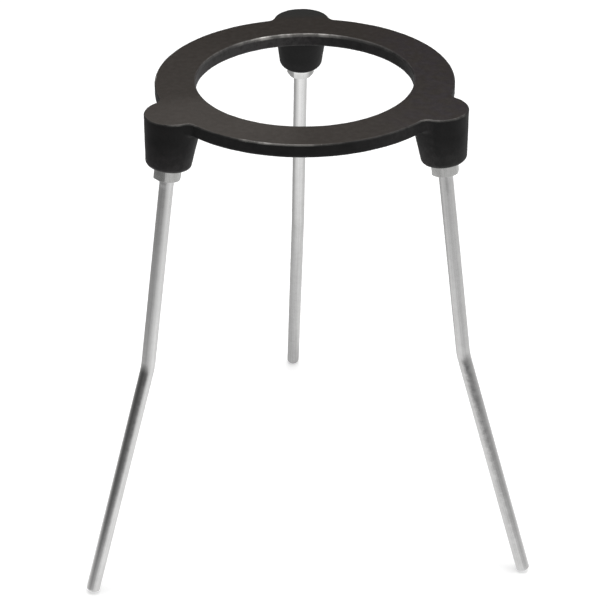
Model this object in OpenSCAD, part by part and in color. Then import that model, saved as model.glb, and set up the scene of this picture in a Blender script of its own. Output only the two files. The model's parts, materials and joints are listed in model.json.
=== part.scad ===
// Laboratory tripod stand: a cast-iron ring with three leaning bosses, on three bent
// steel rods that screw into the bosses and are locked there by hexagon nuts.
// Millimetres. Z is the ring's axis, the bench is z = 0 and the back leg points along +Y.
// Lists with three values are for the back, the left and the right leg, in that order.

/* [Stand] */
// Height of the ring's top face above the bench
stand_h = 216.8; // [190:0.2:250]

/* [Ring] */
// Outer diameter of the ring
ring_od = 124.4; // [120:0.2:135]
// Diameter of the opening
opening_d = 90.4; // [80:0.2:94]
// Thickness of the ring
ring_t = 6; // [4.5:0.1:7]
// Rounding of the casting's upper edges
top_edge_r = 0.7; // [0.4:0.1:1]
// Rounding of the ring's lower edges
low_edge_r = 1.4; // [0.8:0.1:1.8]
// Radius of the hollow corners between the ring and its bosses
web_r = 2.5; // [2:0.5:5]

/* [Bosses] */
// Distance from the ring's axis to where a boss's axis meets the top face
boss_pitch_r = 61.5; // [60:0.5:64]
// Diameter of a boss at the top face
boss_top_d = 24.4; // [22:0.1:27]
// Diameter of a boss at its lower end
boss_end_d = 18.5; // [16:0.1:20]
// Length of a boss along its axis
boss_len = 23.4; // [20:0.1:28]
// Rounding of a boss's lower edge
boss_edge_r = 2.2; // [1:0.2:3]

/* [Threads and nuts] */
// Outer diameter of the stud's thread
thread_d = 6; // [5.5:0.1:7]
// Length of the thread, from the rod's upper end
thread_len = 20; // [18:0.5:26]
// Gap all round a thread in its hole or nut
thread_gap = 0.05; // [0.02:0.01:0.15]
// Depth of the tapped hole in a boss
hole_depth = 17; // [16:0.5:18]
// Width of a nut across its flats
nut_af = 10.6; // [9:0.2:12]
// Height of a nut
nut_h = 5.2; // [4:0.2:6]
// Turn of each nut about its stud
nut_turn = [29, 52, 49]; // [0:1:60]

/* [Rods] */
// Diameter of the plain rod
rod_d = 5.9; // [4.5:0.1:6.6]
// Length of a rod from its upper end to the corner of its bend
upper_len = 103.5; // [90:0.5:125]
// Angle of the bend
bend_a = 10; // [4:0.5:15]
// Radius of the bend, at the middle of the rod
bend_r = 30; // [15:1:60]
// Swelling of the rod's radius where it is bent
bend_swell = 0.03; // [0.02:0.01:0.1]
// Bevel at the rod's ends
rod_bevel = 0.8; // [0.3:0.1:1.2]

/* [Setting of the legs] */
// Outward lean of each boss and stud
out_lean = [10.5, 9.3, 7.6]; // [5:0.1:12]
// Sideways lean of each boss and stud
side_lean = [1.1, 0.9, -0.4]; // [-3:0.1:3]
// Turn of each bend past the outward direction, where its thread locks
bend_turn = [2, 10, 3]; // [-20:1:20]
// Depth to which each stud is screwed into its boss
screw_in = [13.5, 11.5, 13.5]; // [11:0.5:16]

/* [Hidden] */
$fn = 96;

BACK = 0;
LEFT = 1;
RIGHT = 2;
leg_count = 3;
leg_dir = [for (i = [0 : leg_count - 1]) 90 + i * 360 / leg_count];

ring_r = ring_od / 2;
opening_r = opening_d / 2;
ring_w = ring_r - opening_r;
rod_r = rod_d / 2;
thread_r = thread_d / 2;
tapped_r = thread_r + thread_gap;

boss_top_r = boss_top_d / 2;
boss_end_r = boss_end_d / 2;
boss_taper = atan((boss_top_r - boss_end_r) / boss_len);
// The boss is drawn this far above the top face, which then cuts it off level
boss_over = boss_top_r;

// Length over which the thread fades out into the plain rod
thread_fade = 1.2;
// Angle of the drill's point
drill_point_a = 118;
nut_sides = 6;
// Angle of the bevel on a nut's corners
nut_bevel_a = 30;
// The bevel starts this far inside a nut's flats, so that it nicks them too
nut_bevel_in = 0.2;
// Depth and widening of the bevel at each mouth of a nut's thread
nut_mouth = 0.4;

// A rounding or hollow that would only graze a wall is set this far over it, to end in a clean line
graze = 0.06;
// The straight rod runs on into the bend by this much, so that they are one piece
bend_lap = 0.5;
// Clear of a wall or a face that a cut has to pass
past = 1;

color_iron = "#3b3936";
color_zinc = "#c3c5c6";
color_nut = "#b4b6b4";

// Where a boss meets the top face: an oval, from its axis outward and inward
function lobe_reach(i, way) =
    boss_top_r / ((1 + way * tan(boss_taper) * tan(out_lean[i])) * cos(out_lean[i]));
function lobe_r(i) = (lobe_reach(i, 1) + lobe_reach(i, -1)) / 2;
function lobe_pitch_r(i) = boss_pitch_r + (lobe_reach(i, 1) - lobe_reach(i, -1)) / 2;

// How far a millimetre of the stud, and of the rod below its bend, comes down
function stud_fall(i) = cos(side_lean[i]) * cos(out_lean[i]);
function foot_fall(i) =
    cos(bend_a) * stud_fall(i)
    - sin(bend_a) * cos(bend_turn[i]) * sin(out_lean[i])
    - sin(bend_a) * sin(bend_turn[i]) * sin(side_lean[i]) * cos(out_lean[i]);

// Length of rod that the bend takes up on each side of its corner
bend_reach = bend_r * tan(bend_a / 2);

// Distances along the stud's axis, from the top face
function stud_top(i) = boss_len - screw_in[i];
function bend_at(i) = stud_top(i) + upper_len;

// Length below the bend's corner that brings the rod's lowest edge to the bench
function lower_len(i) =
    (stand_h - bend_at(i) * stud_fall(i) - (rod_r - rod_bevel) * sin(acos(foot_fall(i))))
    / foot_fall(i);

// Turns to a leg's side of the ring, with x outward
module on_side(i) {
    rotate([0, 0, leg_dir[i]])
        children();
}

// Puts the top of a stud's axis on the top face, with the stud along -z
module on_stud(i) {
    on_side(i)
        translate([boss_pitch_r, 0, stand_h])
            rotate([side_lean[i], -out_lean[i], 0])
                children();
}

// Section of the ring: a flat bar w wide, its top at y = 0, with rounded edges
module bar_section(w) {
    difference() {
        translate([0, -ring_t])
            square([w, ring_t]);
        for (side = [0, 1])
            translate([side * w, 0])
                mirror([side, 0]) {
                    corner_cut(top_edge_r);
                    translate([0, -ring_t])
                        mirror([0, 1])
                            corner_cut(low_edge_r);
                }
    }
}

// What a rounding takes off a corner whose sides run along +x and -y
module corner_cut(r) {
    difference() {
        translate([-past, -r])
            square([r + past, r + past]);
        translate([r, -r])
            circle(r);
    }
}

module ring_bar() {
    translate([0, 0, stand_h])
        rotate_extrude()
            translate([opening_r, 0])
                bar_section(ring_w);
}

// Half section of a boss about its own axis
module boss_section() {
    arc_x = boss_end_r + boss_edge_r * (tan(boss_taper) - 1 / cos(boss_taper));
    arc_y = boss_edge_r - boss_len;
    over_r = boss_top_r + boss_over * tan(boss_taper);
    polygon([
        [0, boss_over],
        [over_r, boss_over],
        [arc_x + boss_edge_r * cos(boss_taper), arc_y - boss_edge_r * sin(boss_taper)],
        [arc_x, -boss_len],
        [0, -boss_len]
    ]);
    translate([arc_x, arc_y])
        circle(boss_edge_r);
}

// A tapered boss with a rounded lower edge, cut off level with the top face
module boss(i) {
    difference() {
        on_stud(i)
            rotate_extrude()
                boss_section();
        translate([0, 0, stand_h])
            cylinder(r = ring_od, h = ring_od);
        on_side(i)
            translate([lobe_pitch_r(i), 0, stand_h])
                rotate_extrude()
                    translate([lobe_r(i) + graze, 0])
                        mirror([1, 0])
                            corner_cut(top_edge_r);
    }
}

// Fills the corner between ring and boss on one side, with a hollow face
module web(i, side) {
    reach = web_r - graze;
    lobe_c = lobe_pitch_r(i);
    lobe_d = lobe_r(i) + reach;
    hollow_d = ring_r + reach;
    hollow_a = acos((hollow_d ^ 2 + lobe_c ^ 2 - lobe_d ^ 2) / (2 * hollow_d * lobe_c));
    hollow = hollow_d * [cos(hollow_a), side * sin(hollow_a)];
    to_lobe = ([lobe_c, 0] - hollow) / lobe_d;
    sunk = web_r + graze;
    on_side(i)
        translate([0, 0, stand_h])
            difference() {
                translate([0, 0, -ring_t])
                    linear_extrude(ring_t)
                        polygon([
                            [lobe_c, 0],
                            hollow * (1 - sunk / hollow_d),
                            hollow + to_lobe * sunk
                        ]);
                translate(hollow)
                    rotate_extrude()
                        difference() {
                            translate([0, -ring_t - past])
                                square([web_r + 2 * low_edge_r, ring_t + 2 * past]);
                            translate([web_r, 0])
                                bar_section(ring_w);
                        }
            }
}

// Blind hole for a stud, from the boss's lower end, with the drill's cone at its bottom
module tapped_hole() {
    translate([0, 0, -boss_len - past])
        cylinder(r = tapped_r, h = hole_depth + past);
    translate([0, 0, hole_depth - boss_len])
        cylinder(r1 = tapped_r, r2 = 0, h = tapped_r / tan(drill_point_a / 2));
}

module ring_head() {
    color(color_iron)
        difference() {
            union() {
                ring_bar();
                for (i = [BACK, LEFT, RIGHT]) {
                    boss(i);
                    for (side = [-1, 1])
                        web(i, side);
                }
            }
            for (i = [BACK, LEFT, RIGHT])
                on_stud(i)
                    tapped_hole();
        }
}

// Threaded stud and plain rod down to the start of the bend
module upper_rod(i) {
    top = -stud_top(i);
    fade = top - thread_len + thread_fade;
    bottom = bend_reach - bend_lap - bend_at(i);
    rotate_extrude()
        polygon([
            [0, top],
            [thread_r - rod_bevel, top],
            [thread_r, top - rod_bevel],
            [thread_r, fade],
            [rod_r, fade - thread_fade],
            [rod_r, bottom],
            [0, bottom]
        ]);
}

module rod_bend() {
    translate([bend_r, 0, bend_reach])
        rotate([90, 0, 0])
            rotate_extrude(angle = bend_a, start = 180)
                translate([bend_r, 0])
                    circle(rod_r + bend_swell);
}

// Plain rod from the end of the bend to the bevelled foot
module lower_rod(length) {
    top = bend_lap - bend_reach;
    rotate([0, -bend_a, 0])
        rotate_extrude()
            polygon([
                [0, top],
                [rod_r, top],
                [rod_r, rod_bevel - length],
                [rod_r - rod_bevel, -length],
                [0, -length]
            ]);
}

module leg(i) {
    color(color_zinc)
        on_stud(i) {
            upper_rod(i);
            translate([0, 0, -bend_at(i)])
                rotate([0, 0, bend_turn[i]]) {
                    rod_bend();
                    lower_rod(lower_len(i));
                }
        }
}

// Hexagon nut with bevelled corners, seated on the lower end of its boss
module nut(i) {
    corner_r = nut_af / 2 / cos(180 / nut_sides);
    face_r = nut_af / 2 - nut_bevel_in;
    bevel_h = (corner_r - face_r) * tan(nut_bevel_a);
    color(color_nut)
        on_stud(i)
            translate([0, 0, -boss_len - nut_h])
                rotate([0, 0, nut_turn[i]])
                    difference() {
                        intersection() {
                            cylinder(r = corner_r, h = nut_h, $fn = nut_sides);
                            rotate([0, 0, 90 / nut_sides])
                                rotate_extrude()
                                    polygon([
                                        [0, 0],
                                        [face_r, 0],
                                        [corner_r, bevel_h],
                                        [corner_r, nut_h - bevel_h],
                                        [face_r, nut_h],
                                        [0, nut_h]
                                    ]);
                        }
                        translate([0, 0, -past])
                            cylinder(r = tapped_r, h = nut_h + 2 * past);
                        for (end = [0, 1])
                            translate([0, 0, end * nut_h])
                                mirror([0, 0, end])
                                    cylinder(r1 = tapped_r + nut_mouth, r2 = tapped_r, h = nut_mouth);
                    }
}

ring_head();
leg(BACK);  // back_leg
leg(LEFT);  // left_leg
leg(RIGHT);  // right_leg
nut(BACK);  // back_nut
nut(LEFT);  // left_nut
nut(RIGHT);  // right_nut
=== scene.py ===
"""Dresses a laboratory tripod stand: a black cast-iron head on three zinc-plated rods.

Lengths are millimetres until a mesh is made, and angles are degrees. Z is the ring's
axis, the bench is z = 0 and the back leg points along +Y.
"""

import json
import logging
import math
from dataclasses import dataclass
from enum import Enum
from typing import Callable, Sequence

import bpy
import numpy as np
from mathutils import Matrix, Vector


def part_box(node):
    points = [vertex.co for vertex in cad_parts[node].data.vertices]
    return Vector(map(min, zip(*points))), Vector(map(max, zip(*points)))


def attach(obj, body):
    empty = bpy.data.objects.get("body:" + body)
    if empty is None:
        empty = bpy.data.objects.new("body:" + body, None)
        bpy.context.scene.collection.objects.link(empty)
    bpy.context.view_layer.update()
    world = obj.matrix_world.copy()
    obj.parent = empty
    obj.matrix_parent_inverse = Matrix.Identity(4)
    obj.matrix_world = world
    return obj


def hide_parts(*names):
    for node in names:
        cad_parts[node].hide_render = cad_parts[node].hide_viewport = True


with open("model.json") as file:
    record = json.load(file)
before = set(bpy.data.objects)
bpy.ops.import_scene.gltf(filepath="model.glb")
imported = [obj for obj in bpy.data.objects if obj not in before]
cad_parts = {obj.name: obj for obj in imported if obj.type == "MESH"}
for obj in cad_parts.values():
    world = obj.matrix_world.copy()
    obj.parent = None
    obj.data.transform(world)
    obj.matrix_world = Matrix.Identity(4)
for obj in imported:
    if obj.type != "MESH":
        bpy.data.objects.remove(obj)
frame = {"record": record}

log = logging.getLogger("tripod_stand")

Piece = bpy.types.Object
Tree = bpy.types.NodeTree
Socket = bpy.types.NodeSocket

MM = 0.001
BODY = "root"
HEX_SIDES = 6
QUARTER_TURN = 90.0
HALF_TURN = 180.0
FULL_TURN = 360.0
TINY = 1e-9
# Radii of the ring's two top rims
INNER_RIM = 45.2
OUTER_RIM = 62.2
# Blender's numbers for the colour sockets of a Mix node
MIX_INPUTS = (0, 6, 7)
MIX_OUTPUT = 2


class LegPlace(Enum):
    """The three sides of the ring that carry a leg."""

    BACK = 0
    LEFT = 1
    RIGHT = 2

    @property
    def word(self) -> str:
        """The place as node names spell it."""
        return self.name.lower()

    @property
    def direction(self) -> float:
        """Angle of the leg round the ring's axis, in degrees from +X."""
        return QUARTER_TURN + self.value * FULL_TURN / len(LegPlace)


class FinishSlot(Enum):
    """The record's material slots."""

    IRON = "black_iron"
    ROD = "zinc_rod"
    NUT = "zinc_nut"


# ---------------------------------------------------------------- small mathematics


def turn(axis: str, degrees: float) -> np.ndarray:
    """Rotation matrix about one axis.

    Args:
        axis: "X", "Y" or "Z".
        degrees: Angle, right-handed.

    Returns:
        A 3 by 3 matrix.
    """
    return np.array(Matrix.Rotation(math.radians(degrees), 3, axis))


def circle_angles(count: int) -> np.ndarray:
    """Evenly spaced angles of a full turn, in radians."""
    return np.arange(count) * math.tau / count


def round_axis(radius: np.ndarray, angle: np.ndarray, height: np.ndarray) -> np.ndarray:
    """Points at given radii, angles in radians and heights."""
    flat = 0.0 * radius * angle
    return np.stack([radius * np.cos(angle), radius * np.sin(angle), flat + height], -1)


def unrolled(angles: np.ndarray, radius: float, depth: float) -> np.ndarray:
    """Places on an unrolled cylinder: the way round it, and the way along it."""
    return np.stack([angles * radius, 0.0 * angles + depth], 1)


def bearing_off(bearings: np.ndarray, centre: float) -> np.ndarray:
    """How far bearings lie from a centre, from -180 to 180 degrees."""
    return (bearings - centre + HALF_TURN) % FULL_TURN - HALF_TURN


def smooth_step(low: float, high: float, values: np.ndarray) -> np.ndarray:
    """Eases from 0 at low to 1 at high.

    Args:
        low: Value that gives 0.
        high: Value that gives 1.
        values: Numbers to ease.

    Returns:
        Numbers from 0 to 1.
    """
    share = np.clip((values - low) / (high - low), 0.0, 1.0)
    return share * share * (3.0 - 2.0 * share)


@dataclass(frozen=True)
class Ease:
    """A smooth change from start to end while a value goes from low to high."""

    low: float
    high: float
    start: float = 0.0
    end: float = 1.0

    def of(self, values: np.ndarray) -> np.ndarray:
        """The eased values."""
        return self.start + (self.end - self.start) * smooth_step(self.low, self.high, values)


def round_cut(first: np.ndarray, second: np.ndarray, radius: float) -> np.ndarray:
    """Distance to what two solids share, with a round edge where they meet.

    Args:
        first: Signed distance to the first solid.
        second: Signed distance to the second solid.
        radius: Radius of the edge.

    Returns:
        The signed distance, negative inside.
    """
    corner = np.hypot(np.maximum(first + radius, 0.0), np.maximum(second + radius, 0.0))
    return np.minimum(np.maximum(first, second), -radius) + corner


def fillet_join(first: np.ndarray, second: np.ndarray, radius: np.ndarray) -> np.ndarray:
    """Distance to two solids together, with a hollow fillet where they meet.

    Args:
        first: Signed distance to the first solid.
        second: Signed distance to the second solid.
        radius: Radius of the fillet, which may change from place to place.

    Returns:
        The signed distance, negative inside.
    """
    corner = np.hypot(np.maximum(radius - first, 0.0), np.maximum(radius - second, 0.0))
    return np.maximum(np.minimum(first, second), radius) - corner


# ---------------------------------------------------------------- making meshes


def new_piece(
    name: str,
    points: np.ndarray,
    faces: Sequence[Sequence[int]] | np.ndarray,
    masks: dict[str, np.ndarray],
    uv: np.ndarray | None = None,
    normals: np.ndarray | None = None,
) -> Piece:
    """Makes a smooth-shaded mesh object in the scene.

    Args:
        name: Name of the piece.
        points: Vertex positions in millimetres.
        faces: Vertex numbers of each face.
        masks: Named values, one for each vertex.
        uv: One pair of numbers for each vertex, in millimetres.
        normals: Shading normals, one for each vertex.

    Returns:
        The new object.
    """
    mesh = bpy.data.meshes.new(name)
    mesh.from_pydata((points * MM).tolist(), [], [list(face) for face in faces])
    mesh.polygons.foreach_set("use_smooth", [True] * len(mesh.polygons))
    if uv is not None:
        corners = np.zeros(len(mesh.loops), np.int32)
        mesh.loops.foreach_get("vertex_index", corners)
        layer = mesh.uv_layers.new(name="along")
        layer.data.foreach_set("uv", (uv[corners] * MM).ravel().astype(np.float32))
    for label, values in masks.items():
        attribute = mesh.attributes.new(label, "FLOAT", "POINT")
        attribute.data.foreach_set("value", values.astype(np.float32))
    if normals is not None:
        mesh.normals_split_custom_set_from_vertices(normals.tolist())
    mesh.validate(clean_customdata=False)
    mesh.update()
    piece = bpy.data.objects.new(name, mesh)
    bpy.context.scene.collection.objects.link(piece)
    return piece


def ring_faces(rows: int, columns: int) -> list[list[int]]:
    """Quads between rings of points that close on themselves.

    Args:
        rows: Number of rings.
        columns: Points in each ring.

    Returns:
        The faces, turned outward when rings run down and points run anticlockwise.
    """
    faces = []
    for row in range(rows - 1):
        here, below = row * columns, (row + 1) * columns
        for column in range(columns):
            after = (column + 1) % columns
            faces.append([here + column, below + column, below + after, here + after])
    return faces


def net_of_cells(
    values: np.ndarray, place: Callable[[np.ndarray], np.ndarray]
) -> tuple[np.ndarray, np.ndarray]:
    """Quads along the zero level of a field that was sampled on a ring-shaped grid.

    Each cell that the surface passes through holds one vertex, at the mean of the
    crossings on the cell's edges.

    Args:
        values: Signed distances by angle, height and radius; the angles close the ring.
        place: Turns grid coordinates, in cells, into positions.

    Returns:
        The vertex positions and the quads.
    """
    inside = values < 0
    around, upward, outward = values.shape
    shape = (around, upward - 1, outward - 1)
    total = np.zeros(shape + (3,))
    count = np.zeros(shape, int)

    def corner(data: np.ndarray, step: Sequence[int]) -> np.ndarray:
        """The values at one corner of every cell."""
        rolled = np.roll(data, -step[0], 0)
        return rolled[:, step[1] : step[1] + shape[1], step[2] : step[2] + shape[2]]

    for axis in range(3):
        for pair in ((0, 0), (0, 1), (1, 0), (1, 1)):
            start = list(pair)
            start.insert(axis, 0)
            end = list(start)
            end[axis] = 1
            low, high = corner(values, start), corner(values, end)
            crossed = corner(inside, start) != corner(inside, end)
            share = np.where(crossed, low / np.where(crossed, low - high, 1.0), 0.0)
            count += crossed
            for part in range(3):
                offset = share if part == axis else float(start[part])
                total[..., part] += np.where(crossed, offset, 0.0)
    used = count > 0
    number = np.full(shape, -1)
    number[used] = np.arange(used.sum())
    points = place(np.argwhere(used) + total[used] / count[used][:, None])

    faces = []
    for axis in range(3):
        side, other = (axis + 1) % 3, (axis + 2) % 3
        after = np.roll(inside, -1, axis)
        if axis:
            last = [slice(None)] * 3
            last[axis] = -1
            after[tuple(last)] = inside[tuple(last)]
        edges = np.argwhere(inside != after)
        quad = []
        for back, aside in ((0, 0), (1, 0), (1, 1), (0, 1)):
            cell = edges.copy()
            cell[:, side] -= back
            cell[:, other] -= aside
            cell[:, 0] %= around
            quad.append(number[tuple(cell.T)])
        quad = np.stack(quad, 1)
        leaving = inside[tuple(edges.T)]
        faces.append(np.where(leaving[:, None], quad, quad[:, ::-1]))
    return points, np.concatenate(faces)


# ---------------------------------------------------------------- shader groups


@dataclass
class Nodes:
    """Places and links shader nodes in one tree."""

    tree: Tree

    def add(self, kind: str, values: dict | None = None, **settings: object) -> bpy.types.Node:
        """Adds a node.

        Args:
            kind: Blender's name for the node, without "ShaderNode".
            values: Input values or sockets to link, by the input's name or number.
            **settings: Properties of the node.

        Returns:
            The node.
        """
        node = self.tree.nodes.new("ShaderNode" + kind)
        for key, value in settings.items():
            setattr(node, key, value)
        for key, value in (values or {}).items():
            self.feed(node.inputs[key], value)
        return node

    def feed(self, socket: Socket, value: object) -> None:
        """Links a socket to another, or sets its value."""
        if isinstance(value, Socket):
            self.tree.links.new(value, socket)
        else:
            socket.default_value = value

    def maths(self, operation: str, *inputs: object) -> Socket:
        """The result of a Math node, with its numbers or sockets in order."""
        return self.add("Math", dict(enumerate(inputs)), operation=operation).outputs[0]

    def times(self, first: object, second: object) -> Socket:
        """The product of two values."""
        return self.maths("MULTIPLY", first, second)

    def times_plus(self, value: object, factor: object, more: object) -> Socket:
        """A value times a factor, and more added to it."""
        return self.maths("MULTIPLY_ADD", value, factor, more)

    def vector(self, operation: str, *inputs: object) -> Socket:
        """The result of a Vector Math node.

        Args:
            operation: Blender's name for it, such as "NORMALIZE".
            *inputs: Vectors or sockets, in order.

        Returns:
            The socket of the number for a dot product or a distance, or else the vector's.
        """
        node = self.add("VectorMath", dict(enumerate(inputs)), operation=operation)
        return node.outputs["Value" if operation in ("DOT_PRODUCT", "DISTANCE") else "Vector"]

    def part(self, vector: Socket, axis: str) -> Socket:
        """One part of a vector."""
        return self.add("SeparateXYZ", {0: vector}).outputs[axis]

    def mask(self, name: str) -> Socket:
        """A value that the mesh holds at each point."""
        return self.add("Attribute", attribute_name=name).outputs["Fac"]

    def ease(
        self, value: object, change: Ease, start: object = None, kind: str = "SMOOTHSTEP"
    ) -> Socket:
        """Eases a value.

        Args:
            value: Number or socket to ease.
            change: The change to follow.
            start: Result at the low end, where it isn't the change's own.
            kind: Blender's name for the way between the ends.

        Returns:
            The output socket.
        """
        first = change.start if start is None else start
        values = dict(enumerate((value, change.low, change.high, first, change.end)))
        return self.add("MapRange", values, interpolation_type=kind).outputs[0]

    def noise(self, vector: Socket, scale: object, detail: float, rough: float) -> Socket:
        """Soft noise from 0 to 1.

        Args:
            vector: Where to look it up.
            scale: Lumps in a metre.
            detail: Number of finer layers.
            rough: Strength of each finer layer.

        Returns:
            The output socket.
        """
        values = {"Vector": vector, "Scale": scale, "Detail": detail, "Roughness": rough}
        return self.add("TexNoise", values).outputs["Fac"]

    def blend(self, share: object, first: object, second: object) -> Socket:
        """Mixes two colours, where a share of 0 gives the first and 1 the second."""
        values = dict(zip(MIX_INPUTS, (share, first, second)))
        return self.add("Mix", values, data_type="RGBA").outputs[MIX_OUTPUT]

    def group(self, tree: Tree, values: dict) -> bpy.types.bpy_prop_collection:
        """Places a node group with its own values and gives its outputs."""
        return self.add("Group", values, node_tree=tree).outputs

    def emboss(self, shader: bpy.types.Node, height: Socket, depth: float) -> None:
        """Gives a shader a fine relief, as deep in metres as its height is 1."""
        bump = self.add("Bump", {"Height": height, "Distance": depth, "Strength": 1.0})
        self.feed(shader.inputs["Normal"], bump.outputs[0])


@dataclass(frozen=True)
class GroupKit:
    """The shader groups that several finishes share."""

    patches: Tree
    grain: Tree
    edge_wear: Tree

    # Shares and changes that are the same wherever a group is used
    patch_middle = 0.5
    grit_fineness = 4.0
    pits = Ease(0.62, 0.78)
    worn_runs = Ease(0.38, 0.62, 0.34, 1.0)
    worn_line = Ease(0.3, 0.95)
    widening = 0.25
    nick_fineness = 9.0
    nicks = Ease(0.62, 0.7)
    nicked_edge = Ease(0.1, 0.5)

    @staticmethod
    def start(
        name: str, takes: Sequence[str], gives: Sequence[str]
    ) -> tuple[Nodes, dict[str, Socket], bpy.types.Node]:
        """Starts a group with named sockets.

        Args:
            name: Name of the group.
            takes: Names of the numbers that it takes beside a vector.
            gives: Names of the numbers that it puts out.

        Returns:
            The tree's nodes, the input sockets by name and the output node.
        """
        tree = bpy.data.node_groups.new(name, "ShaderNodeTree")
        tree.interface.new_socket("Vector", in_out="INPUT", socket_type="NodeSocketVector")
        for label in takes:
            tree.interface.new_socket(label, in_out="INPUT", socket_type="NodeSocketFloat")
        for label in gives:
            tree.interface.new_socket(label, in_out="OUTPUT", socket_type="NodeSocketFloat")
        given = dict(tree.nodes.new("NodeGroupInput").outputs.items())
        return Nodes(tree), given, tree.nodes.new("NodeGroupOutput")

    @classmethod
    def make(cls) -> "GroupKit":
        """Builds each group once."""
        return cls(cls.make_patches(), cls.make_grain(), cls.make_edge_wear())

    @classmethod
    def make_patches(cls) -> Tree:
        """Cloudy patches, such as uneven paint, dust or plating.

        Returns:
            A group that puts out "Mask", from 0 to 1.
        """
        nodes, given, sink = cls.start("patches", ("Scale", "Contrast"), ("Mask",))
        wide = nodes.noise(given["Vector"], given["Scale"], detail=3.0, rough=0.55)
        around = nodes.maths("SUBTRACT", wide, cls.patch_middle)
        raised = nodes.times_plus(around, given["Contrast"], cls.patch_middle)
        nodes.feed(sink.inputs["Mask"], nodes.add("Clamp", {"Value": raised}).outputs[0])
        return nodes.tree

    @classmethod
    def make_grain(cls) -> Tree:
        """Fine relief: coarse lumps with finer grit on them.

        Returns:
            A group that puts out "Height" and "Pits".
        """
        nodes, given, sink = cls.start("grain", ("Scale", "Grit"), ("Height", "Pits"))
        lumps = nodes.noise(given["Vector"], given["Scale"], detail=2.0, rough=0.5)
        finer = nodes.times(given["Scale"], cls.grit_fineness)
        grit = nodes.noise(given["Vector"], finer, detail=2.0, rough=0.6)
        nodes.feed(sink.inputs["Height"], nodes.times_plus(grit, given["Grit"], lumps))
        nodes.feed(sink.inputs["Pits"], nodes.ease(grit, cls.pits))
        return nodes.tree

    @classmethod
    def make_edge_wear(cls) -> Tree:
        """Finish rubbed and chipped off along edges.

        Returns:
            A group that puts out "Rubbed", a broken line, and "Chips", small nicks.
        """
        nodes, given, sink = cls.start(
            "edge_wear", ("Edge", "Amount", "Scale"), ("Rubbed", "Chips")
        )
        runs = nodes.noise(given["Vector"], given["Scale"], detail=3.0, rough=0.6)
        share = nodes.times(given["Amount"], nodes.ease(runs, cls.worn_runs))
        wider = nodes.times_plus(given["Amount"], cls.widening, 1.0)
        line = nodes.ease(nodes.times(given["Edge"], wider), cls.worn_line)
        nodes.feed(sink.inputs["Rubbed"], nodes.times(line, share))
        finer = nodes.times(given["Scale"], cls.nick_fineness)
        nicks = nodes.noise(given["Vector"], finer, detail=2.0, rough=0.7)
        on_edge = nodes.ease(given["Edge"], cls.nicked_edge)
        chips = nodes.times(nodes.ease(nicks, cls.nicks), on_edge)
        nodes.feed(sink.inputs["Chips"], nodes.times(chips, given["Amount"]))
        return nodes.tree


# ---------------------------------------------------------------- finishes


@dataclass(frozen=True)
class Clouds:
    """How fine and how strong a finish's cloudy patches are."""

    scale: float
    contrast: float

    def mask(self, nodes: Nodes, kit: GroupKit, place: Socket) -> Socket:
        """The patches, placed in a material."""
        values = {"Vector": place, "Scale": self.scale, "Contrast": self.contrast}
        return nodes.group(kit.patches, values)["Mask"]


@dataclass(frozen=True)
class Grain:
    """How fine a finish's grain is, and how much grit it has."""

    scale: float
    grit: float

    def lumps(self, nodes: Nodes, kit: GroupKit, place: Socket) -> tuple[Socket, Socket]:
        """The grain's height and pits, placed in a material."""
        values = {"Vector": place, "Scale": self.scale, "Grit": self.grit}
        outputs = nodes.group(kit.grain, values)
        return outputs["Height"], outputs["Pits"]


@dataclass(frozen=True)
class Wear:
    """How fine the wear along a finish's edges is."""

    scale: float

    def edges(
        self, nodes: Nodes, kit: GroupKit, place: Socket, amount: object
    ) -> tuple[Socket, Socket]:
        """The rubbed line and the chips on the piece's edges, placed in a material."""
        values = {"Vector": place, "Edge": nodes.mask("edge"), "Amount": amount}
        outputs = nodes.group(kit.edge_wear, values | {"Scale": self.scale})
        return outputs["Rubbed"], outputs["Chips"]


def new_material(name: str) -> tuple[bpy.types.Material, Nodes, bpy.types.Node]:
    """Starts a material with one Principled shader.

    Args:
        name: Name of the material.

    Returns:
        The material, its nodes and the shader node.
    """
    material = bpy.data.materials.new(name)
    material.use_nodes = True
    nodes = Nodes(material.node_tree)
    return material, nodes, material.node_tree.nodes["Principled BSDF"]


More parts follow.
